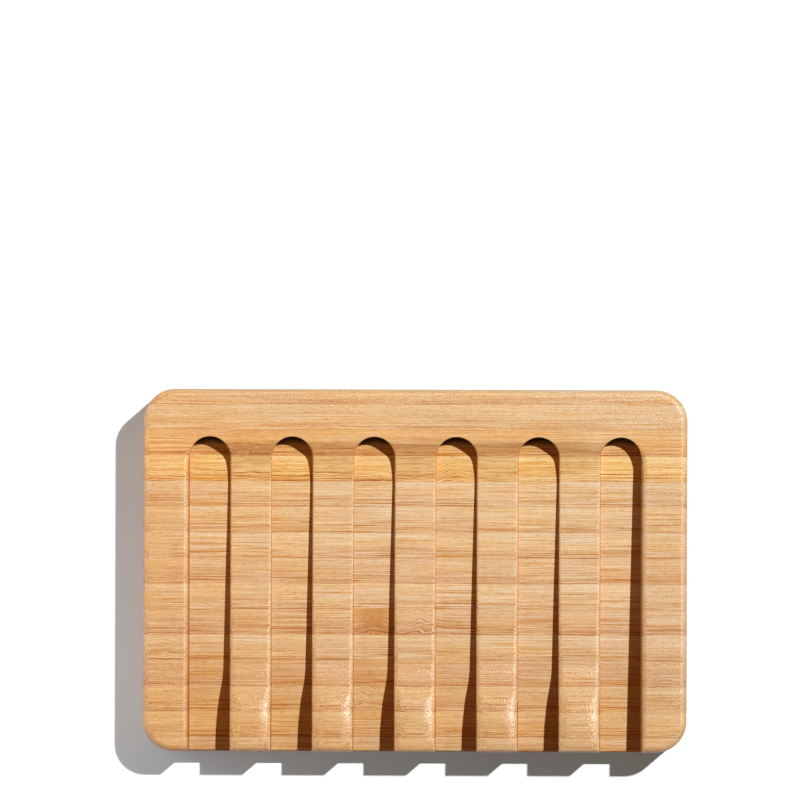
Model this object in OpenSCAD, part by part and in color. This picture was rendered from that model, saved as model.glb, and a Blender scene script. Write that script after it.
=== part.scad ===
/*
  Soap dish milled from one block of edge-glued bamboo.

  Fifteen bamboo strips are glued side by side into a board, and the board is
  milled as one: a rounded outline with eased edges, six round-ended drain
  channels that run out through the front, and a recess across the five ribs
  that holds the soap. X runs along the strips, Y to the back, Z up. The origin
  is the middle of the underside. All sizes are in millimetres.
*/

/* [Board] */
// Width of the board, along its strips
board_w = 120; // [112:1:140]
// Depth of the board, from the open front to the back rim
board_d = 80; // [74:1:100]
// Height of the board
board_h = 15; // [13:0.5:22]
// Radius of the four corners, seen from above
corner_r = 7; // [4:0.25:10]
// Round-over of the upper outer edge
top_edge_r = 1.5; // [0.5:0.1:3]
// Round-over of the lower outer edge
foot_edge_r = 0.6; // [0.3:0.1:1.5]

/* [Strips] */
// Width of the trimmed strip along the back edge
back_strip_w = 3.35; // [2.5:0.05:4.5]
// Width of the trimmed strip along the front edge
front_strip_w = 3.2; // [2.5:0.05:4.5]

/* [Drain channels] */
// Number of drain channels
channels = 6; // [4:1:6]
// Width of a channel
channel_w = 8.9; // [7:0.1:10]
// Width of a rib between two channels
rib_w = 9.25; // [7:0.05:11]
// Distance from the back edge to the round end of a channel
back_rim_w = 10.45; // [7:0.05:14]
// Depth of the channel floor under the rim at its round end
floor_depth_back = 4.4; // [3.8:0.1:6]
// Depth of the channel floor under the rim at the open front
floor_depth_front = 7.5; // [5:0.1:9]
// Ease of the floor's front edge
floor_lip_r = 0.5; // [0.2:0.1:1]
// Round-over of the side frames along the outer channels
frame_edge_r = 1.4; // [0.5:0.1:2]

/* [Soap recess] */
// Distance from the back edge to the lip of the recess
lip_back_w = 10.9; // [9:0.05:14]
// Radius of the lip behind the recess
lip_r = 2.5; // [1:0.1:4]
// Radius of the cove that leads down to the seat
cove_r = 15; // [8:0.5:18]
// Depth of the seat under the rim at its back end
seat_depth_back = 3.45; // [2.4:0.05:3.7]
// Depth of the seat under the rim at its front end
seat_depth_front = 3.15; // [2.4:0.05:3.7]
// Radius at the foot of the front ramp
ramp_foot_r = 9; // [5:0.5:14]
// Steepest slope of the front ramp, in degrees
ramp_slope = 21.5; // [16:0.5:26]
// Radius of the crown where the ramp meets the front land
crown_r = 22; // [12:1:30]
// Length of the flat land in front of the crown
land_w = 5.8; // [4:0.1:8]
// Round-over along both sides of a rib at the back of the seat
rib_edge_r = 0.5; // [0.3:0.05:0.9]
// Width to which that round-over has grown at the front ramp
ramp_shoulder_w = 1.2; // [0.5:0.1:2]
// Width of the softer shoulder along both sides of a rib from the crown to the front
crown_shoulder_w = 3; // [1:0.1:3.4]
// Drop of that shoulder at the channel wall
crown_shoulder_drop = 0.8; // [0.3:0.05:1.2]

/* [Hidden] */
NODES = ["back_edge_strip", "back_rim_strip", "arch_strip", "cove_strip",
         "seat_strip_1", "seat_strip_2", "seat_strip_3", "seat_strip_4",
         "seat_strip_5", "seat_strip_6", "seat_strip_7",
         "ramp_strip", "crown_strip", "front_land_strip", "front_edge_strip"];

// How far a cut runs past the face that it opens
overrun = 1;
// Places nearer than this are one place
same_place = 0.001;
// Largest turn between two sections of the recess, in degrees
turn_step = 5;
// Largest distance between two sections on a curve of the recess
section_step = 1.05;
// Sections on the front part of the seat
seat_steps = 6;
// Share of the seat over which a rib's round-over has not begun to grow
even_share = 0.5;
// Steps round one edge of a rib
edge_steps = 4;
// Share of its first step by which a rib's round-over runs on past the channel wall
foot_share = 0.3;
// Steps by which the lip's first slope runs on above the rim
lip_run_steps = 3;
// Steps round the ease of a channel's floor
lip_steps = 4;
// Smoothness of the true curves where they are drawn as facets
$fn = 96;

// The full strips share the depth between the two trimmed ones
full_strips = len(NODES) - 2;
strip_w = (board_d - back_strip_w - front_strip_w) / full_strips;

channel_pitch = channel_w + rib_w;
channel_r = channel_w / 2;
outer_channel_x = channel_pitch * (channels - 1) / 2;
frame_wall_x = outer_channel_x + channel_r;
// Centre of the round channel ends
arch_y = board_d / 2 - back_rim_w - channel_r;

// Centres of the four arcs in the recess profile, as [y, z]
lip_y = board_d / 2 - lip_back_w;
lip_centre = [lip_y, board_h - lip_r];
cove_z = board_h - seat_depth_back + cove_r;
cove_y = lip_y - sqrt(pow(lip_r + cove_r, 2) - pow(cove_z - lip_centre[1], 2));
cove_centre = [cove_y, cove_z];
crown_centre = [land_w - board_d / 2, board_h - crown_r];
ramp_radii = ramp_foot_r + crown_r;
// The ramp is no steeper than its two arcs can reach within the seat's depth
ramp_turn = min(ramp_slope, acos(1 - seat_depth_front / ramp_radii));
ramp_length = (seat_depth_front - ramp_radii * (1 - cos(ramp_turn))) / sin(ramp_turn);
foot_y = crown_centre[0] + ramp_length * cos(ramp_turn) + ramp_radii * sin(ramp_turn);
foot_centre = [foot_y, board_h - seat_depth_front + ramp_foot_r];
// Slopes where the arcs hand over to each other, in degrees
cove_turn = acos(1 - seat_depth_back / (lip_r + cove_r));
seat_run = cove_centre - foot_centre;
seat_slope = asin((cove_r - ramp_foot_r) / norm(seat_run)) - atan2(seat_run[1], seat_run[0]);

// Upward normal of the profile where it falls to the front by an angle
function normal_at(fall) = [-sin(fall), cos(fall)];

// Stations [y, z, fall] along an arc: bulge is 1 for a crest and -1 for a hollow
function arc_stations(centre, r, from_fall, to_fall, bulge) =
    let (turn = abs(to_fall - from_fall),
         steps = max(1, ceil(turn / turn_step), ceil(PI * r * turn / 180 / section_step)))
    [for (i = [0:steps])
        let (fall = from_fall + (to_fall - from_fall) * i / steps,
             point = centre + bulge * r * normal_at(fall))
        [point[0], point[1], fall]];

lip_arc = arc_stations(lip_centre, lip_r, 0, cove_turn, 1);
cove_arc = arc_stations(cove_centre, cove_r, cove_turn, -seat_slope, -1);
foot_arc = arc_stations(foot_centre, ramp_foot_r, -seat_slope, -ramp_turn, -1);
crown_arc = arc_stations(crown_centre, crown_r, -ramp_turn, 0, 1);

// Station on the seat at a share of its way from the cove to the foot of the ramp
function seat_station(share) =
    let (back = cove_arc[len(cove_arc) - 1])
    back + share * (foot_arc[0] - back);

// The recess profile from above the back lip to past the front edge
recess_arcs = concat(
    [lip_arc[0] + lip_run_steps * (lip_arc[0] - lip_arc[1])],
    [for (i = [1:len(lip_arc) - 1]) lip_arc[i]],
    cove_arc,
    [for (i = [0:seat_steps - 1]) seat_station(even_share + (1 - even_share) * i / seat_steps)],
    foot_arc,
    crown_arc,
    [[-board_d / 2 - overrun, board_h, 0]]);
// The same without the stations that repeat where one arc ends in the next
recess_path = [for (i = [0:len(recess_arcs) - 1])
    if (i == 0 || norm(recess_arcs[i] - recess_arcs[i - 1]) > same_place) recess_arcs[i]];

// Half the opening of a channel at a place along Y, which narrows round its arch
function half_opening(y) =
    y <= arch_y ? channel_r : sqrt(max(pow(rib_edge_r, 2), pow(channel_r, 2) - pow(y - arch_y, 2)));

// Grows smoothly from 0 to 1 between two places along Y, from the one further back
function grown(y, back_y, front_y) =
    let (t = min(1, max(0, (back_y - y) / (back_y - front_y))))
    t * t * (1 + 2 * (1 - t));

// How far a rib's rounding has grown to its width at the ramp, and to that at the crown
function ramp_share(y) = grown(y, seat_station(even_share)[0], foot_arc[0][0]);
function crown_share(y) =
    let (back_y = crown_arc[0][0]) grown(y, back_y, (back_y + crown_centre[0]) / 2);

// Width and drop of the rounding along a rib at a place along Y
function side_w(y) =
    rib_edge_r + (ramp_shoulder_w - rib_edge_r) * ramp_share(y)
    + (crown_shoulder_w - ramp_shoulder_w) * crown_share(y);
function side_drop(y) = rib_edge_r + (crown_shoulder_drop - rib_edge_r) * crown_share(y);

// Share of the rib round-over that is left at a place along Y: it runs out round the arch
round_over_end_y = min(lip_arc[1][0], arch_y + channel_r);
function round_over_share(y) =
    min(1, max(0, (round_over_end_y - y) / (round_over_end_y - arch_y)));

// A point of a rib's rounding: shares of its width in from the channel and of its drop
function edge_point(i) =
    let (turn = 90 * i / edge_steps)
    [1 - cos(turn), 1 - sin(turn)];

// One side of a rib, whose first step starts a little inside the open channel
rib_side = concat(
    [edge_point(0) + foot_share * (edge_point(0) - edge_point(1))],
    [for (i = [1:edge_steps]) edge_point(i)]);

function channel_x(i) = (i - (channels - 1) / 2) * channel_pitch;

// The comb across the ribs as [x, drop], from one outer channel's middle to the other's
function comb(y) =
    let (opening = half_opening(y), w = side_w(y), drop = side_drop(y) * round_over_share(y))
    concat(
        [[channel_x(0), rib_side[0][1] * drop]],
        [for (i = [0:channels - 2])
            let (from_x = channel_x(i) + opening, to_x = channel_x(i + 1) - opening)
            each concat(
                [for (p = rib_side) [from_x + p[0] * w, p[1] * drop]],
                [for (p = [for (k = [edge_steps:-1:0]) rib_side[k]])
                    [to_x - p[0] * w, p[1] * drop]])],
        [[channel_x(channels - 1), rib_side[0][1] * drop]]);

// Two triangles over four corners, which run clockwise seen from outside
function quad(a, b, c, d) = [[a, b, c], [a, c, d]];

// The recess between two places along Y, as one closed cutter swept along its profile
module recess(front_y, back_y) {
    first = max([for (i = [0:len(recess_path) - 1]) recess_path[i][0] >= back_y ? i : 0]);
    last = min([for (i = [0:len(recess_path) - 1])
        recess_path[i][0] <= front_y ? i : len(recess_path) - 1]);
    stations = [for (i = [first:last]) recess_path[i]];
    width = len(comb(0));
    rows = len(stations);
    layer = width * rows;
    cut = [for (s = stations) for (p = comb(s[0])) [p[0], s[0], s[1] - p[1] / cos(s[2])]];
    lid = [for (s = stations) for (p = comb(s[0])) [p[0], s[0], board_h + overrun]];
    below = [for (j = [0:rows - 2]) for (i = [0:width - 2])
        let (a = j * width + i)
        each quad(a, a + width, a + width + 1, a + 1)];
    above = [for (j = [0:rows - 2]) for (i = [0:width - 2])
        let (a = layer + j * width + i)
        each quad(a, a + 1, a + width + 1, a + width)];
    back = [for (i = [0:width - 2]) each quad(i, i + 1, layer + i + 1, layer + i)];
    front = [for (i = [layer - width:layer - 2]) each quad(i, layer + i, layer + i + 1, i + 1)];
    left = [for (j = [0:rows - 2])
        let (a = j * width)
        each quad(a, layer + a, layer + a + width, a + width)];
    right = [for (j = [1:rows - 1])
        let (a = j * width - 1)
        each quad(a, a + width, layer + a + width, layer + a)];
    polyhedron(points = concat(cut, lid), faces = concat(below, above, back, front, left, right));
}

// Half a section of the board out to its edge, with both round-overs
module edge_section(half_w) {
    translate([0, foot_edge_r])
        square([half_w, board_h - foot_edge_r - top_edge_r]);
    square([half_w - foot_edge_r, foot_edge_r]);
    translate([0, board_h - top_edge_r])
        square([half_w - top_edge_r, top_edge_r]);
    translate([half_w - foot_edge_r, foot_edge_r])
        circle(foot_edge_r);
    translate([half_w - top_edge_r, board_h - top_edge_r])
        circle(top_edge_r);
}

// A whole section of the board
module board_section(w) {
    edge_section(w / 2);
    mirror([1, 0])
        edge_section(w / 2);
}

// The glued and trimmed board before any channel is cut
module board_blank() {
    rotate([90, 0, 0])
        linear_extrude(board_d - 2 * corner_r, center = true)
            board_section(board_w);
    rotate([90, 0, 90])
        linear_extrude(board_w - 2 * corner_r, center = true)
            board_section(board_d);
    for (x = [-1, 1], y = [-1, 1])
        translate([x * (board_w / 2 - corner_r), y * (board_d / 2 - corner_r), 0])
            rotate_extrude()
                intersection() {
                    edge_section(corner_r);
                    square([corner_r, board_h]);
                }
}

// Side view of a channel: a straight floor that falls to the front and ends in an eased lip
module channel_side() {
    front_y = -board_d / 2;
    back_y = arch_y + channel_r + overrun;
    fall = (floor_depth_front - floor_depth_back) / (arch_y + channel_r - front_y);
    lip_z = board_h - floor_depth_front + fall * floor_lip_r;
    top_z = board_h + overrun;
    polygon(concat(
        [[back_y, top_z], [back_y, board_h - floor_depth_back + fall * overrun]],
        [for (i = [0:lip_steps])
            let (turn = 90 * i / lip_steps)
            [front_y + floor_lip_r * (1 - sin(turn)), lip_z - floor_lip_r * (1 - cos(turn))]],
        [[front_y - overrun, lip_z - floor_lip_r], [front_y - overrun, top_z]]));
}

// One drain channel at its place along X
module channel(i) {
    translate([channel_x(i), 0, 0])
        intersection() {
            linear_extrude(board_h + overrun) {
                translate([-channel_r, -board_d / 2 - overrun])
                    square([channel_w, arch_y + board_d / 2 + overrun]);
                translate([0, arch_y])
                    circle(channel_r);
            }
            rotate([90, 0, 90])
                linear_extrude(channel_w + 2 * overrun, center = true)
                    channel_side();
        }
}

// Section of the round-over along a side frame: x counts outwards from the channel wall
module frame_edge_section() {
    difference() {
        translate([-overrun, board_h - frame_edge_r])
            square([frame_edge_r + overrun, frame_edge_r + overrun]);
        translate([frame_edge_r, board_h - frame_edge_r])
            circle(frame_edge_r);
    }
}

// Round-over of the right side frame, which runs out round the outer arch
module frame_round_over() {
    run_out_y = arch_y - frame_edge_r;
    translate([frame_wall_x, run_out_y, 0])
        rotate([90, 0, 0])
            linear_extrude(run_out_y + board_d / 2 + overrun)
                frame_edge_section();
    translate([outer_channel_x, run_out_y, 0])
        rotate_extrude(angle = 90)
            translate([channel_r, 0])
                frame_edge_section();
}

// Place of a strip's back edge along Y, counted from the back strip
function strip_back_y(i) =
    i == 0 ? board_d / 2 : board_d / 2 - back_strip_w - (i - 1) * strip_w;

function strip_front_y(i) = i == len(NODES) - 1 ? -board_d / 2 : strip_back_y(i + 1);

// The space that one strip fills in the board
module strip_slab(i) {
    past_back = i == 0 ? overrun : 0;
    past_front = i == len(NODES) - 1 ? overrun : 0;
    front_y = strip_front_y(i) - past_front;
    back_y = strip_back_y(i) + past_back;
    translate([-board_w / 2 - overrun, front_y, -overrun])
        cube([board_w + 2 * overrun, back_y - front_y, board_h + 2 * overrun]);
}

// One strip of the milled board
module strip(i) {
    front_y = strip_front_y(i);
    back_y = strip_back_y(i);
    difference() {
        intersection() {
            board_blank();
            strip_slab(i);
        }
        if (front_y < arch_y + channel_r) {
            for (k = [0:channels - 1])
                channel(k);
            frame_round_over();
            mirror([1, 0, 0])
                frame_round_over();
        }
        if (front_y < lip_y)
            recess(front_y, back_y);
    }
}

module back_edge_strip() { color("#d9ae7a") strip(0); }
module back_rim_strip() { color("#dcb27f") strip(1); }
module arch_strip() { color("#d7a66b") strip(2); }
module cove_strip() { color("#dfae68") strip(3); }
module seat_strip_1() { color("#e2b98a") strip(4); }
module seat_strip_2() { color("#e0b583") strip(5); }
module seat_strip_3() { color("#e3ba8b") strip(6); }
module seat_strip_4() { color("#e0b482") strip(7); }
module seat_strip_5() { color("#e1b785") strip(8); }
module seat_strip_6() { color("#d9a873") strip(9); }
module seat_strip_7() { color("#deb27d") strip(10); }
module ramp_strip() { color("#daa872") strip(11); }
module crown_strip() { color("#ddb17a") strip(12); }
module front_land_strip() { color("#dcae78") strip(13); }
module front_edge_strip() { color("#d8ab7a") strip(14); }

back_edge_strip();
back_rim_strip();
arch_strip();
cove_strip();
seat_strip_1();
seat_strip_2();
seat_strip_3();
seat_strip_4();
seat_strip_5();
seat_strip_6();
seat_strip_7();
ramp_strip();
crown_strip();
front_land_strip();
front_edge_strip();
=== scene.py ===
# %% [markdown]
# # A soap dish milled from glued bamboo
#
# The real dish is one board of fifteen bamboo strips, glued side by side and milled
# as one. Its shape was drawn in CAD, strip by strip, at its real size. This lesson
# loads those strips, sets up the camera, the table and the light, grows bamboo in the
# strips with shader nodes and softens their shading.
#
# Everything is in metres, as Blender likes it. Lengths that are easier to think of
# in millimetres are written times MM.

# %% Load the strips
import math
import bpy
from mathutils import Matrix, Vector


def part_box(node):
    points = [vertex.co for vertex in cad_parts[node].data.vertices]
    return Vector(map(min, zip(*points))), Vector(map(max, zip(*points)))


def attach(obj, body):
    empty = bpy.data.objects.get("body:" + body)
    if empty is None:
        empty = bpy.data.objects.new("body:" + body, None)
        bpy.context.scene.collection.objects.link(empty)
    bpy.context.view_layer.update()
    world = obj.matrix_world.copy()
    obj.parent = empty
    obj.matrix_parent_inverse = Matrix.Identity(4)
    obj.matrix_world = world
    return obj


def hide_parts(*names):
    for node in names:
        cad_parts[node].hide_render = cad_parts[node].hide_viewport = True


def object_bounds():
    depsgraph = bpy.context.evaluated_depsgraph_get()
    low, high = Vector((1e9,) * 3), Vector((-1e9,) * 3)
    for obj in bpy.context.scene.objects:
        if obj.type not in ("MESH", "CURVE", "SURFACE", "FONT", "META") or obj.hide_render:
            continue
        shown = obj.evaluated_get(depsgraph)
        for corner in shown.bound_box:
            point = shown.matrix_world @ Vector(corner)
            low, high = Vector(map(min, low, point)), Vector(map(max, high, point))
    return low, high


MM = 0.001

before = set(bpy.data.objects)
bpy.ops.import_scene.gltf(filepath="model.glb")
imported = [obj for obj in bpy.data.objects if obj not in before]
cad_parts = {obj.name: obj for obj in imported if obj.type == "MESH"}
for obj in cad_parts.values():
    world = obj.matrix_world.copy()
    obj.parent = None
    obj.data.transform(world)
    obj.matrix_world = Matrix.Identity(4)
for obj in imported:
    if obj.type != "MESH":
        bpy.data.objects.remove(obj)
cad_low, cad_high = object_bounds()
board = cad_high - cad_low
print("board, mm:", [round(side / MM, 2) for side in board])

# %% [markdown]
# ## The camera
#
# The photograph looks straight down on the dish from far away, so that the walls of
# the channels hardly show. An orthographic camera would hide them altogether. A long
# lens at three metres leaves the trace of them that the photograph has. The dish lies
# low in the picture and a fifth of a degree clockwise. The empty place above the dish
# is part of the picture, so the camera is aimed there and not at the dish.

# %% Camera
CAMERA_HEIGHT = 3.0
VIEW_WIDTH = 176.5 * MM
SENSOR_WIDTH = 36.0
AIM = Vector((-3.48 * MM, 37.7 * MM, board.z))
ROLL = math.radians(0.2)

camera_data = bpy.data.cameras.new("camera")
camera_data.sensor_width = SENSOR_WIDTH
camera_data.lens = SENSOR_WIDTH * CAMERA_HEIGHT / VIEW_WIDTH
camera = bpy.data.objects.new("camera", camera_data)
camera.location = AIM + Vector((0, 0, CAMERA_HEIGHT))
camera.rotation_euler = (0, 0, ROLL)
bpy.context.collection.objects.link(camera)
bpy.context.scene.camera = camera
print("lens, mm:", round(camera_data.lens, 1))

# %% [markdown]
# ## The table
#
# A white sheet lies under the dish and far around it. It is stage, not part of the
# dish. Only the shadow on it shows, so one large plane does. The light in the shadows is
# warm, and on white paper that would show as brown. So the table gives off a trace of
# blue light of its own, which turns its shadows back to grey. It throws no light back
# at the dish, so the sides of the dish stay dark, and with them the shadow right up to
# the wood.

# %% Table
TABLE_SIDE = 6.0
TABLE_GLOW = 0.055
TABLE_GLOW_COLOUR = (0.0, 0.75, 1.0)
WHITE = (1.0, 1.0, 1.0)

bpy.ops.object.select_all(action="DESELECT")
bpy.ops.mesh.primitive_plane_add(size=TABLE_SIDE, location=(0, 0, 0))
table = bpy.context.object
table.name = "table"
white = bpy.data.materials.new("white_table")
white.use_nodes = True
white_shader = white.node_tree.nodes["Principled BSDF"]
white_shader.inputs["Base Color"].default_value = (*WHITE, 1.0)
white_shader.inputs["Roughness"].default_value = 1.0
white_shader.inputs["Specular IOR Level"].default_value = 0.0
white_shader.inputs["Emission Color"].default_value = (*TABLE_GLOW_COLOUR, 1.0)
white_shader.inputs["Emission Strength"].default_value = TABLE_GLOW
table.data.materials.append(white)
table.visible_diffuse = False
print("table, m:", [round(side, 2) for side in table.dimensions])

# %% [markdown]
# ## The sun
#
# The sun stands behind the dish to the right and is small and hard, as the edges of the
# shadows show. A lamp close by would slant every channel's shadow in its own way, but a
# sun's rays are parallel and all six are alike. Its direction can be measured: the
# shadow's length over the height of the board gives its slope. It is a shade cooler
# than white, because the fill is warm, and the two together light a level white surface
# to white.

# %% Sun
SUN_TRAVEL = Vector((-0.475, -0.41, -1.0))
SUN_SIZE = math.radians(1.6)
SUN_LEVEL = 0.94
SUN_COLOUR = (0.94, 0.995, 1.0)

sun_data = bpy.data.lights.new("sun", "SUN")
sun_data.angle = SUN_SIZE
sun_data.color = SUN_COLOUR
# A white surface that lies level sends back strength x cosine / pi
sun_data.energy = SUN_LEVEL * math.pi / abs(SUN_TRAVEL.normalized().z)
sun = bpy.data.objects.new("sun", sun_data)
sun.rotation_euler = SUN_TRAVEL.to_track_quat("-Z", "Y").to_euler()
bpy.context.collection.objects.link(sun)
print("sun strength:", round(sun_data.energy, 2))

# %% [markdown]
# ## A small language for shader nodes
#
# A wood grain is mostly arithmetic, and arithmetic is hard to read as a web of nodes.
# The class Wire holds one output of a node. Adding or multiplying two wires adds the
# Math node that does it, so a grain can be written as a formula. Wire.node adds any
# other node: it takes the node's type, its settings and what goes into its sockets.

# %% Wire
class Wire:
    """One output of a shader node, which can stand in a formula."""

    def __init__(self, tree, socket):
        self.tree = tree
        self.socket = socket

    @classmethod
    def node(cls, tree, kind, settings=None, values=(), output=0):
        """Adds a node, makes its settings, fills its sockets and gives its output as a Wire.

        A tuple of outputs gives a list of Wires.
        """
        node = tree.nodes.new(kind)
        for name, setting in (settings or {}).items():
            setattr(node, name, setting)
        named = values.items() if isinstance(values, dict) else enumerate(values)
        for key, value in named:
            socket = node.inputs[key]
            if isinstance(value, cls):
                tree.links.new(value.socket, socket)
            else:
                socket.default_value = value
        if not node.outputs:
            return None
        if isinstance(output, tuple):
            return [cls(tree, node.outputs[key]) for key in output]
        return cls(tree, node.outputs[output])

    def math(self, operation, *others):
        """A Math node on this wire and what stands after it."""
        return self.node(self.tree, "ShaderNodeMath", {"operation": operation}, (self, *others))

    def math_after(self, operation, number):
        """A Math node on a number that stands first, and this wire."""
        return self.node(self.tree, "ShaderNodeMath", {"operation": operation}, (number, self))

    def __add__(self, other):
        return self.math("ADD", other)

    def __radd__(self, number):
        return self.math_after("ADD", number)

    def __sub__(self, other):
        return self.math("SUBTRACT", other)

    def __rsub__(self, number):
        return self.math_after("SUBTRACT", number)

    def __mul__(self, other):
        return self.math("MULTIPLY", other)

    def __rmul__(self, number):
        return self.math_after("MULTIPLY", number)

    def __truediv__(self, other):
        return self.math("DIVIDE", other)

    def __rtruediv__(self, number):
        return self.math_after("DIVIDE", number)

    def __pow__(self, other):
        return self.math("POWER", other)

    def __rpow__(self, number):
        return self.math_after("POWER", number)

    def exp(self):
        return self.math("EXPONENT")

    def size(self):
        return self.math("ABSOLUTE")

    def clamped(self):
        """The wire kept between 0 and 1."""
        return self.node(self.tree, "ShaderNodeClamp", {}, [self])

    def ease(self, low, high):
        """Runs smoothly from 0 where the wire is low to 1 where it is high."""
        return self.node(self.tree, "ShaderNodeMapRange", {"interpolation_type": "SMOOTHSTEP"},
                         {"Value": self, "From Min": low, "From Max": high})

    def bell(self, centre, reach):
        """Is 1 at the centre and fades to nothing about twice the reach away."""
        off = (self - centre) / reach
        return (0.0 - off * off).exp()

    def parts(self):
        """The three numbers of a vector."""
        return self.node(self.tree, "ShaderNodeSeparateXYZ", {}, [self], output=(0, 1, 2))

# %% [markdown]
# ## The world
#
# The world does two jobs. As a light it is dim and warm, because what reaches a shadow
# has been round the walls of a room and over bamboo. As a picture it is plain white: for
# what the camera sees, and for what gloss mirrors and glass lets through. One white
# world could do both, but it would flood the channels, whose shadows are deep. So the
# Light Path node says which kind of ray asks, and a Mix Shader answers it with one or
# the other.

# %% World
FILL_LEVEL = 0.12
FILL_COLOUR = (0.88, 0.49, 0.21)
PURE_WHITE_LEVEL = 1.0

world = bpy.data.worlds.new("studio")
bpy.context.scene.world = world
world.use_nodes = True
sky = world.node_tree
sky.nodes.clear()
camera_ray, glossy_ray, transmission_ray = Wire.node(sky, "ShaderNodeLightPath", output=(
    "Is Camera Ray", "Is Glossy Ray", "Is Transmission Ray"))
looks = camera_ray.math("MAXIMUM", glossy_ray).math("MAXIMUM", transmission_ray)
fill = Wire.node(sky, "ShaderNodeBackground", {}, {
    "Color": (*FILL_COLOUR, 1.0), "Strength": FILL_LEVEL})
seen = Wire.node(sky, "ShaderNodeBackground", {}, {
    "Color": (*WHITE, 1.0), "Strength": PURE_WHITE_LEVEL})
chosen = Wire.node(sky, "ShaderNodeMixShader", {}, [looks, fill, seen])
Wire.node(sky, "ShaderNodeOutputWorld", {}, {"Surface": chosen})
print("nodes in the world:", len(sky.nodes))

# %% [markdown]
# ## Cards
#
# A photographer puts white cards around a small object to send light where it is
# lacking. Here they are area lamps, unseen by the camera. A low one at the left lights
# only the table, whose shadow is palest there. Three light only the dish: a warm one
# leads light into the channels at the left, a low one lights the left-hand edge and a
# faint one the front. The big one at the right is made for gloss: it lights nothing,
# but the rounded right-hand edges mirror it as pale lines.

# %% Cards
def card(name, place, width, height, level, colour=WHITE):
    """A lamp aimed at the dish, given by its light on a surface there that faces it."""
    data = bpy.data.lights.new(name, "AREA")
    data.shape = "RECTANGLE"
    data.size = width
    data.size_y = height
    data.color = colour
    # Such a surface sends back power / (pi x distance) squared
    data.energy = level * (math.pi * place.length) ** 2
    lamp = bpy.data.objects.new(name, data)
    lamp.location = place
    lamp.rotation_euler = place.to_track_quat("Z", "Y").to_euler()
    lamp.visible_camera = False
    bpy.context.collection.objects.link(lamp)
    print(name, "power:", round(data.energy, 3))
    return lamp


WARM = (1.0, 0.7, 0.36)
COOL = (0.88, 0.92, 1.0)

left_card = card("left_card", Vector((-0.13, 0.0, 0.12)),
                 width=0.20, height=0.06, level=0.08, colour=WARM)
table_card = card("table_card", Vector((-0.15, -0.038, 0.06)),
                  width=0.22, height=0.04, level=0.33, colour=COOL)
edge_card = card("edge_card", Vector((-0.09, 0.0, 0.018)),
                 width=0.12, height=0.006, level=0.14)
front_card = card("front_card", Vector((0.10, -0.50, 0.04)),
                  width=0.30, height=0.06, level=0.06, colour=WARM)
gloss_card = card("gloss_card", Vector((0.80, 0.05, 0.60)),
                  width=1.0, height=1.0, level=0.33)
gloss_card.visible_diffuse = False

# %% [markdown]
# ## What each card lights
#
# Real cards are shaded with flags, so that they light one thing and not its neighbour.
# In Blender a lamp's receiver collection says what it lights, and a member of it can
# also be marked as the one thing that is left out. So one collection is the table
# alone, and the other is all but the table.

# %% Light only the table, or all but the table
only_table = bpy.data.collections.new("only_table")
only_table.objects.link(table)
table_card.light_linking.receiver_collection = only_table
without_table = bpy.data.collections.new("without_table")
without_table.objects.link(table)
without_table.collection_objects[0].light_linking.link_state = "EXCLUDE"
for lamp in (left_card, edge_card, front_card):
    lamp.light_linking.receiver_collection = without_table
    print(lamp.name, "lights", lamp.light_linking.receiver_collection.name)

# %% [markdown]
# ## The view
#
# Blender's usual view transform bends colours as film does. The Standard one leaves
# them as they are written, so white stays white and the bamboo keeps its tone.

# %% View
bpy.context.scene.view_settings.view_transform = "Standard"
print("view:", bpy.context.scene.view_settings.view_transform)

# %% [markdown]
# ## Colours
#
# A picture editor gives a colour as three numbers from 0 to 255, bent to suit the eye.
# They are handy to think in, but shaders reckon with amounts of light, so a colour is
# unbent before it is used. Colours that are wires go through a Mix node, because a Math
# node would turn them grey.

# %% Colours
def paint(red, green, blue):
    """Turns a colour as a picture editor shows it, from 0 to 255, into linear light."""
    # The numbers are those of the standard curve that screens use
    return tuple(((part / 255 + 0.055) / 1.055) ** 2.4 for part in (red, green, blue))


def times(colour, factors):
    """Multiplies a colour's three numbers by three factors."""
    return tuple(part * factor for part, factor in zip(colour, factors))


def mix_colour(tree, share, first, second, blend="MIX"):
    """Mixes two colours, each a Wire or three linear numbers."""
    inks = [ink if isinstance(ink, Wire) else (*ink, 1.0) for ink in (first, second)]
    return Wire.node(tree, "ShaderNodeMix", {"data_type": "RGBA", "blend_type": blend},
                     {0: share, 6: inks[0], 7: inks[1]}, output=2)


print("middle grey is", [round(part, 3) for part in paint(128, 128, 128)], "in light")

# %% [markdown]
# ## How bamboo looks inside
#
# A bamboo strip is pale pith with thousands of dark fibre bundles running through it
# from end to end. A cut along the strip shows them as streaks, a cut across as dots. A
# picture of bamboo laid over the dish would smear down every wall. So the grain is one
# field in space: noise that is stretched a hundredfold along X. The streaks on the ribs
# and the dots on the walls of the channels then come out of the same formula, as they
# do in the real block.
#
# Where a leaf once sat, a culm has a node: the fibres bend round it and the wood is
# darker or paler there. A node is a place along X with a reach, a lift by which the
# fibres arch over it, a curl by which they waver, and a stain.

# %% Grain
# Each strip takes its noise from another place, by these steps for each seed
SEED_STEP_X = 7.13
SEED_STEP_Y = 3.71
# A field's shift is along X, and this many times as much along Z
SHIFT_STEP_Z = 1.7
# No fibre is quite straight: over such lengths and widths it drifts by so much, in mm
DRIFT_LENGTH = 60.0
DRIFT_WIDTH = 14.0
DRIFT = 0.6
# The small waves round a node
CURL_LENGTH = 2.6
CURL_WIDTH = 1.6
CURL_SHIFT = 5.0


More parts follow.
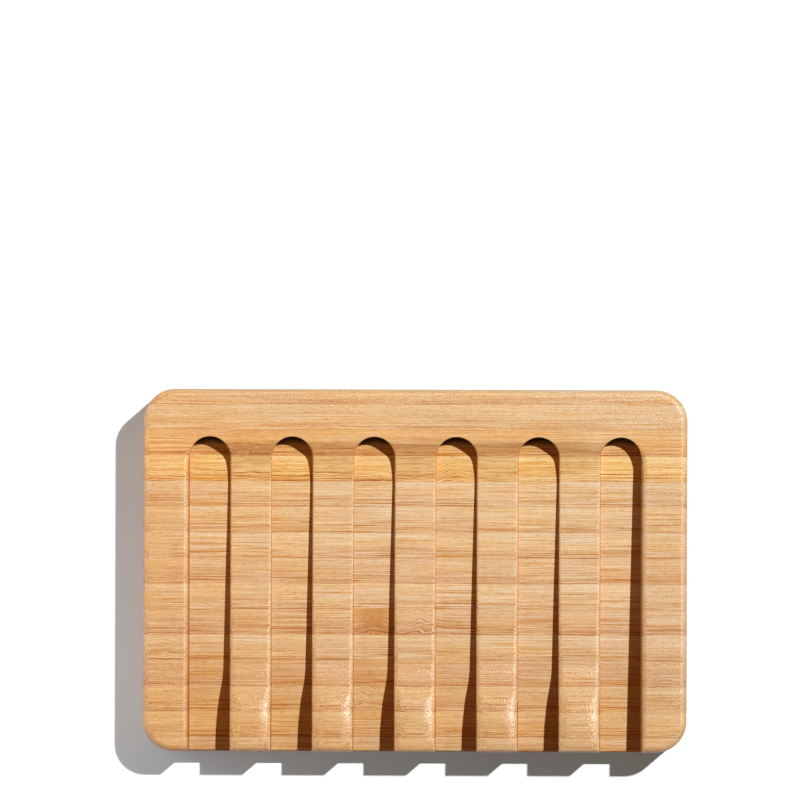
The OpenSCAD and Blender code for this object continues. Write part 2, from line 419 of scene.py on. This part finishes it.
class Grain:
    """The fibres of one strip, as fields in space measured in millimetres."""

    def __init__(self, tree, seed, nodes):
        self.tree = tree
        self.seed = seed
        place = Wire.node(tree, "ShaderNodeTexCoord", output="Object")
        self.x, self.y, self.z = (part / MM for part in place.parts())
        self.flow = self.y
        drift = self.noise(DRIFT_LENGTH, DRIFT_WIDTH) - 0.5
        self.flow = self.y + drift * DRIFT
        for node in nodes:
            near = self.x.bell(node["x"], node["reach"])
            curl = self.noise(CURL_LENGTH, CURL_WIDTH, CURL_SHIFT) - 0.5
            self.flow = self.flow - near * (node["lift"] + curl * node["curl"])

    def noise(self, length, width, shift=0.0):
        """Noise from 0 to 1 whose grains are length by width."""
        spot = Wire.node(self.tree, "ShaderNodeCombineXYZ", {}, [
            self.x / length + (self.seed * SEED_STEP_X + shift),
            self.flow / width + self.seed * SEED_STEP_Y,
            self.z / width + shift * SHIFT_STEP_Z])
        return Wire.node(self.tree, "ShaderNodeTexNoise", {"noise_dimensions": "3D"},
                         {"Vector": spot, "Scale": 1.0, "Detail": 0.0})


print("a fibre drifts by up to", DRIFT / 2, "mm to either side")

# %% [markdown]
# ## Streaks
#
# The fibres are not all alike. There are hairs, longer and stronger threads and a few
# broad cords. A single noise with much detail would give a blur of all sizes. Here each
# kind has a noise of its own, and where that rises over a threshold there is a line.
# They stand close together on the side that was the outside of the culm and thin out
# inwards. Between them lie short dashes, pale lines of pith, bands of another tone and
# a fine speckle. All of it is reckoned as stain, a number that says how much darker
# the wood is, and below zero how much paler.

# %% Streaks
# Length and width of the grains in mm, the shift that makes a kind's noise its own, the
# stretch of the noise over which the line comes in, and its stain
HAIRS = dict(length=10.0, width=0.085, shift=3.0, comes_in=(0.52, 0.70), stain=1.1)
THREADS = dict(length=30.0, width=0.10, shift=0.0, comes_in=(0.57, 0.70), stain=1.75)
CORDS = dict(length=50.0, width=0.22, shift=18.0, comes_in=(0.58, 0.80), stain=0.7)
DASHES = dict(length=1.6, width=0.15, shift=12.0, comes_in=(0.56, 0.74), stain=0.5)
PITH = dict(length=20.0, width=0.10, shift=6.0, comes_in=(0.55, 0.72), stain=0.5)
BANDS = dict(length=80.0, width=1.5, shift=9.0, stain=0.06)
SPECKLE = dict(length=0.5, width=0.3, shift=15.0, stain=0.14)
# Noise seldom leaves the middle, so this opens it out to about one on either side
OPENED = 3.6
# The share of the lines at the inside of the culm, and how many more at the outside
INNER_LINES = 0.4
OUTER_LINES = 1.25


def lines(grain, length, width, shift, comes_in, stain):
    """The lines of one kind."""
    return grain.noise(length, width, shift).ease(*comes_in) * stain


def tones(grain, length, width, shift, stain):
    """Tones that swing about the strip's own."""
    return (grain.noise(length, width, shift) - 0.5) * OPENED * stain


def streaks(grain, dense, bundles):
    """Dark fibres and pale pith, from hairs to broad bands."""
    crowd = (INNER_LINES + dense * dense * OUTER_LINES) * bundles
    fibres = lines(grain, **HAIRS) + lines(grain, **THREADS) + lines(grain, **CORDS)
    dark = fibres * crowd + lines(grain, **DASHES)
    return dark - lines(grain, **PITH) + tones(grain, **BANDS) + tones(grain, **SPECKLE)


print("lines, from the inside out:", INNER_LINES, "to", round(INNER_LINES + OUTER_LINES, 2))

# %% [markdown]
# ## Stain
#
# Dark wood is not just dimmer wood. Like a dye, what makes it dark takes away more than
# half of the blue, less of the green and little of the red, and twice the stain takes
# the same share once more. The light that is left is an exponential for each colour.
# Painted shade is different: it takes the same share of all three.

# %% Stain
# How strongly one unit of stain takes away red, green and blue
STAIN = (0.205, 0.49, 0.97)


def stained(tree, wood, stain, painted_shade):
    """Wood seen through its stain and through the shade painted on it."""
    left = [(stain * -share - painted_shade).exp() for share in STAIN]
    veil = Wire.node(tree, "ShaderNodeCombineColor", {}, left)
    return mix_colour(tree, 1.0, wood, veil, "MULTIPLY")


print("one unit of stain leaves:", [round(math.exp(-share), 2) for share in STAIN])

# %% [markdown]
# ## Painted shade at the channel ends
#
# The round end of each channel lies in deep shadow, darker than the rest of the channel,
# so a dark ring of painted shade lies along its wall, where that shadow falls. Each end
# could have a mask of its own, but the channels stand at an even pitch, so one formula
# does for all six: a PINGPONG folds X up at each rib's and each channel's middle. Then
# the distance to the middle of the round end picks out a ring along its wall.

# %% Channel ends
# The channels as the CAD model has them, in millimetres
HALF_PITCH = 9.075
CHANNEL_R = 4.45
ARCH_Y = 25.1
# The ring, from where it begins inside the wall to where it is full, and its outer rim
RING_BEGINS = CHANNEL_R - 1.7
RING_FULL = CHANNEL_R - 0.3
RING_ENDS = CHANNEL_R + 0.1
# It lies only at the very back of the round end
END_SHADE_BEHIND = (2.2, 4.0)
# Each unit of painted shade leaves about a third of the light
END_SHADE = 1.9


def painted_end_shade(grain):
    """The ring of painted shade at the back of each channel."""
    across = HALF_PITCH - grain.x.math("PINGPONG", HALF_PITCH)
    behind = grain.y - ARCH_Y
    radius = (across * across + behind * behind) ** 0.5
    within = 1.0 - radius.ease(CHANNEL_R, RING_ENDS)
    ring = radius.ease(RING_BEGINS, RING_FULL) * within
    return ring * behind.ease(*END_SHADE_BEHIND) * END_SHADE


print("the soot leaves", round(math.exp(-END_SHADE), 2), "of the light")

# %% [markdown]
# ## End grain, and a painted sheen
#
# The walls of the channels are cut across the fibres, and there the cutter rubs the
# ends of the bundles dark. On the outer sides they were sanded clean again. Between the
# cove and the ramp, the side frames are also a little darker than the ribs. The whole dish
# is painted paler from left to right, a painted sheen where the light comes from the right.
# The walls could be given a material of their own, but the way a surface faces, which the
# Texture Coordinate node gives, tells end grain from the rest without a cut between the two.

# %% End grain and painted sheen
END_GRAIN_FACING = (0.6, 0.98)
END_GRAIN_STAIN = 1.4
# The end grain keeps this share of its stain on the outer sides
OUTER_SHARE = 0.1
OUTER_FROM = (52.0, 56.0)
# A painted sheen: the wood is made paler towards the right, where the light comes from
PAINTED_SHEEN_PER_MM = 0.0026
SEAT_FRONT = (-12.0, -4.0)
SEAT_BACK = (18.0, 21.0)
FRAME_FROM = (50.5, 52.5)
FRAME_STAIN = 0.22


def end_grain_and_sheen(grain, sideways):
    """Darker on the end grain, and paler towards the right as a painted sheen."""
    outside = grain.x.size().ease(*OUTER_FROM)
    end_grain = sideways.size().ease(*END_GRAIN_FACING) * (1.0 - outside * (1.0 - OUTER_SHARE))
    return end_grain * END_GRAIN_STAIN - grain.x * PAINTED_SHEEN_PER_MM


def frame_stain(grain):
    """The darker side frames beside the seat."""
    seat = grain.y.ease(*SEAT_FRONT) * (1.0 - grain.y.ease(*SEAT_BACK))
    return grain.x.size().ease(*FRAME_FROM) * seat * FRAME_STAIN


print("the dish grows paler by", round(PAINTED_SHEEN_PER_MM * board.x / MM, 2), "units of stain")

# %% [markdown]
# ## Skin
#
# In hard light, polished bamboo glitters: its pores tilt the surface here and there
# towards the light. A Bump node makes that from a height in millimetres. The height is
# a fine speckle, less a trace for each dark line. The long right-hand edge of each rib
# is worn a little round, by less than a tenth of a millimetre, so it is left to the
# Bump node too. As it tilts towards the sun it shines as a pale line. The speckle is
# stronger on that edge, on the ramp and the crown, and towards the right.

# %% Skin
# Half the width of a rib, and how far its right-hand edge is worn and how deep
RIB_HALF = 4.625
EDGE_REACH = 1.3
EDGE_DROP = 0.07
# The extra glitter ends with the rib, and the wear fades out over the channel
EDGE_TOP = (RIB_HALF - 0.05, RIB_HALF + 0.05)
BEFORE_NEXT = (RIB_HALF + 1.0, RIB_HALF + 7.0)
# Neither the rim at the back nor a side frame has such an edge
RIM_FROM = (ARCH_Y, ARCH_Y + 4.0)
FRAMES_FROM = (52.0, 54.0)
PORE_LENGTH = 0.30
PORE_WIDTH = 0.24
EDGE_SPARKLE = 0.9
RIGHT_FROM = (10.0, 58.0)
RIGHT_SPARKLE = 0.25
# How deep a unit of stain lies, in mm
LINE_DEPTH = 0.0005


def skin(grain, stain, relief, glint):
    """The small ups and downs of the surface, as a normal."""
    # Runs from the left-hand edge of each rib, where it is -RIB_HALF, to the next rib's
    along = grain.x.math("WRAP", 2 * HALF_PITCH - RIB_HALF, -RIB_HALF)
    before_next = 1.0 - along.ease(*BEFORE_NEXT)
    ribs = (1.0 - grain.y.ease(*RIM_FROM)) * (1.0 - grain.x.size().ease(*FRAMES_FROM))
    worn = (1.0 - (RIB_HALF - along) / EDGE_REACH).clamped() * ribs * before_next
    side = ((along + RIB_HALF) / (2 * RIB_HALF)).clamped() * before_next
    pores = Wire.node(grain.tree, "ShaderNodeCombineXYZ", {}, [
        grain.x / PORE_LENGTH, grain.y / PORE_WIDTH, grain.z / PORE_WIDTH])
    speckle = Wire.node(grain.tree, "ShaderNodeTexNoise", {"noise_dimensions": "3D"},
                        {"Vector": pores, "Scale": 1.0, "Detail": 1.0, "Roughness": 0.6})
    sparkle = 1.0 + worn * (1.0 - along.ease(*EDGE_TOP)) * EDGE_SPARKLE
    sparkle = sparkle + grain.x.ease(*RIGHT_FROM) * RIGHT_SPARKLE
    sparkle = sparkle + side * side * glint
    height = speckle * sparkle * relief - stain * LINE_DEPTH - worn * worn * EDGE_DROP
    return Wire.node(grain.tree, "ShaderNodeBump", {}, {
        "Strength": 1.0, "Distance": MM, "Height": height})


print("worn edges fall off by", EDGE_DROP, "mm over", EDGE_REACH, "mm")

# %% [markdown]
# ## All that stains a strip
#
# In every strip the side that was the outside of the culm lies to the front. It has
# the most lines and is a little darker all over. On top of that come the strip's nodes
# and patches, the hair of glue at its front joint, the dark end grain and the painted
# sheen towards the right. They all count in the same unit, so they are simply added.

# %% Strip stain
# Taken off again everywhere, so that on average a strip keeps its colour
MIDDLE_STAIN = 0.285
DENSE_STAIN = 0.12
GLUE_WIDTH = 0.12
GLUE_STAIN = 0.5


def strip_stain(grain, front, back, sideways, bundles, nodes, patches):
    """All that darkens or pales the strip that lies between front and back along Y."""
    from_joint = grain.y - front / MM
    dense = 1.0 - (from_joint / ((back - front) / MM)).clamped()
    stain = streaks(grain, dense, bundles) + dense * DENSE_STAIN - MIDDLE_STAIN
    for node in nodes:
        stain = stain + grain.x.bell(node["x"], node["reach"]) * node["stain"]
    for patch in patches:
        along = grain.x.bell(patch["x"], patch["reach"])
        across = grain.y.bell(patch["y"], patch["reach_y"])
        stain = stain + along * across * patch["stain"]
    stain = stain + from_joint.bell(0.0, GLUE_WIDTH) * GLUE_STAIN
    # The end grain is darker, and a painted sheen makes the wood paler towards the right
    return stain + end_grain_and_sheen(grain, sideways) + frame_stain(grain)


print("a line of glue is about", 2 * GLUE_WIDTH, "mm wide")

# %% [markdown]
# ## Raw and polished
#
# The dish was polished on top, which deepens the colour and lets it mirror, but no
# cloth reached into the channels. One shader with a rougher patch in it would still
# mirror the white room from the floor of a channel, and its shadow would turn grey. So
# there are two shaders, a raw one with hardly any shine and a polished one. A Mix
# Shader chooses between them by height and by the way a surface faces.

# %% Finish of the wood
# Between the channel floors and the tops of the ribs, in mm above the table
POLISHED_FROM = (10.9, 11.3)
POLISHED_FACING = (0.05, 0.3)
POLISH_TINT = (0.96, 0.92, 0.86)
POLISHED_ROUGHNESS = 0.29
RAW_ROUGHNESS = 0.6
RAW_SHINE = 0.02


def finished(grain, colour, normal, upwards):
    """The wood with its polish, where it has one."""
    tree = grain.tree
    polish = grain.z.ease(*POLISHED_FROM) * upwards.size().ease(*POLISHED_FACING)
    deeper = mix_colour(tree, polish, WHITE, POLISH_TINT)
    colour = mix_colour(tree, 1.0, colour, deeper, "MULTIPLY")
    raw = Wire.node(tree, "ShaderNodeBsdfPrincipled", {}, {
        "Base Color": colour, "Normal": normal,
        "Roughness": RAW_ROUGHNESS, "Specular IOR Level": RAW_SHINE})
    polished = Wire.node(tree, "ShaderNodeBsdfPrincipled", {}, {
        "Base Color": colour, "Normal": normal, "Roughness": POLISHED_ROUGHNESS})
    return Wire.node(tree, "ShaderNodeMixShader", {}, [polish, raw, polished])


print("polished above", POLISHED_FROM[1], "mm, raw below", POLISHED_FROM[0], "mm")

# %% [markdown]
# ## Bamboo
#
# Now all of it comes together in one material for one strip. The strip's own colour
# drifts between golden and pinkish, the stain and the painted shade at the channel ends
# darken it, and the skin and the polish go over it. Every strip gets its own material,
# because its joint, its noise and its nodes are its own.

# %% Bamboo
GOLDEN = (0.985, 0.985, 0.92)
PINKISH = (0.955, 0.995, 1.06)
ZONE = dict(length=28.0, width=3.5, shift=20.0)
ZONE_TURNS = (0.35, 0.65)


def bamboo(name, front, back, wood, bundles=1.0, nodes=(), patches=(), relief=0.05,
           glint=0.0, shaded_ends=False, seed=1):
    """The material of one strip."""
    material = bpy.data.materials.new(name + "_bamboo")
    material.use_nodes = True
    tree = material.node_tree
    tree.nodes.clear()
    grain = Grain(tree, seed, nodes)
    sideways, _, upwards = Wire.node(tree, "ShaderNodeTexCoord", output="Normal").parts()
    stain = strip_stain(grain, front, back, sideways, bundles, nodes, patches)
    zone = grain.noise(**ZONE).ease(*ZONE_TURNS)
    base = mix_colour(tree, zone, times(wood, GOLDEN), times(wood, PINKISH))
    # A ring of painted shade darkens the round ends of the channels, where the shadow falls
    colour = stained(tree, base, stain, painted_end_shade(grain) if shaded_ends else 0.0)
    surface = finished(grain, colour, skin(grain, stain, relief, glint), upwards)
    Wire.node(tree, "ShaderNodeOutputMaterial", {}, {"Surface": surface})
    print(material.name, "has", len(tree.nodes), "nodes")
    return material

# %% [markdown]
# ## Soft edges
#
# The CAD draws the recess and the rounded sides of the ribs as narrow flat facets, and
# its meshes are loose triangles. They could be modelled anew in Blender, but the shape
# is right already and only its shading is not. So a copy of each strip is merged and
# shaded smooth over every edge that is not sharp, and it stands in for the strip.
# Weighted normals keep the large flat faces flat up to their rims.

# %% Soften
SAME_PLACE = 0.001 * MM
SOFT_ANGLE = math.radians(40)


def softened(name):
    """A copy of a CAD strip whose facets are shaded as one curve."""
    bpy.ops.object.select_all(action="DESELECT")
    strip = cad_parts[name]
    strip.select_set(True)
    bpy.context.view_layer.objects.active = strip
    bpy.ops.object.duplicate()
    soft = bpy.context.object
    soft.name = name + "_soft"
    bpy.ops.mesh.customdata_custom_splitnormals_clear()
    bpy.ops.object.mode_set(mode="EDIT")
    bpy.ops.mesh.select_all(action="SELECT")
    bpy.ops.mesh.remove_doubles(threshold=SAME_PLACE)
    bpy.ops.object.mode_set(mode="OBJECT")
    bpy.ops.object.shade_smooth_by_angle(angle=SOFT_ANGLE)
    weigh = soft.modifiers.new("large_faces_lead", "WEIGHTED_NORMAL")
    weigh.keep_sharp = True
    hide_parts(name)
    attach(soft, "root")
    print(soft.name, "has", len(soft.data.vertices), "vertices")
    return soft

# %% [markdown]
# ## Fifteen strips
#
# No two strips of a board come from the same culm, so each has its own tone. One
# material with a random tone for each strip would be quicker, but the strips of the
# real dish have an order, from honey at the back to redder wood at the front. So each
# strip's colour was matched to the photograph, one by one. Where the photograph shows
# a node or a patch of another tone, the strip has one at that
# place.

# %% Dress the strips
# Wood is the strip's own colour, bundles how many lines it has, relief how deep its
# pores are in mm, and glint how much more it glitters towards the right of each rib.
# Nodes and patches have their places and reaches in mm
STRIPS = {
    "back_edge_strip": dict(wood=paint(229, 183, 132), bundles=0.85, relief=0.10),
    "back_rim_strip": dict(wood=paint(230, 184, 132), bundles=0.75, relief=0.07),
    # The arch strip holds the round ends of the channels, with their painted shade
    "arch_strip": dict(wood=paint(232, 178, 115), shaded_ends=True, bundles=1.2,
                       nodes=[dict(x=-38.4, reach=2.4, lift=0.5, curl=0.6, stain=0.3),
                              dict(x=0.0, reach=60.0, lift=0.0, curl=0.25, stain=0.0)],
                       patches=[dict(x=39.6, y=27.5, reach=2.6, reach_y=2.5, stain=-0.45),
                                dict(x=-56.0, y=28.5, reach=6.0, reach_y=3.5, stain=-0.25),
                                dict(x=27.0, y=28.5, reach=8.0, reach_y=3.5, stain=0.15)]),
    "cove_strip": dict(wood=paint(243, 196, 128), bundles=1.4,
                       nodes=[dict(x=9.0, reach=4.5, lift=0.9, curl=1.6, stain=0.1),
                              dict(x=-20.0, reach=60.0, lift=0.0, curl=0.45, stain=0.0)],
                       patches=[dict(x=39.6, y=22.5, reach=2.2, reach_y=2.6, stain=-0.3)]),
    "seat_strip_1": dict(wood=paint(231, 189, 142)),
    "seat_strip_2": dict(wood=paint(231, 189, 141)),
    "seat_strip_3": dict(wood=paint(231, 190, 144)),
    "seat_strip_4": dict(wood=paint(226, 181, 134)),
    "seat_strip_5": dict(wood=paint(230, 189, 143)),
    "seat_strip_6": dict(wood=paint(224, 178, 130), bundles=1.35,
                         nodes=[dict(x=-8.8, reach=3.8, lift=0.7, curl=1.6, stain=0.85),
                                dict(x=1.5, reach=3.5, lift=0.7, curl=1.8, stain=0.0)]),
    "seat_strip_7": dict(wood=paint(226, 184, 136),
                         nodes=[dict(x=-56.0, reach=2.5, lift=0.3, curl=1.2, stain=0.1)]),
    "ramp_strip": dict(wood=paint(217, 168, 118), relief=0.06, glint=0.4,
                       nodes=[dict(x=55.3, reach=3.5, lift=0.3, curl=1.8, stain=0.0)]),
    "crown_strip": dict(wood=paint(219, 171, 116), relief=0.06, glint=0.5,
                        nodes=[dict(x=-12.0, reach=5.5, lift=0.9, curl=1.5, stain=0.0)]),
    "front_land_strip": dict(wood=paint(221, 173, 116), relief=0.05, glint=0.3),
    "front_edge_strip": dict(wood=paint(218, 172, 123)),
}

for seed, (name, character) in enumerate(STRIPS.items(), start=1):
    low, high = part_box(name)
    strip = softened(name)
    strip.data.materials.clear()
    strip.data.materials.append(bamboo(name, low.y, high.y, seed=seed, **character))
    print(name, "from", round(low.y / MM, 2), "to", round(high.y / MM, 2), "mm")
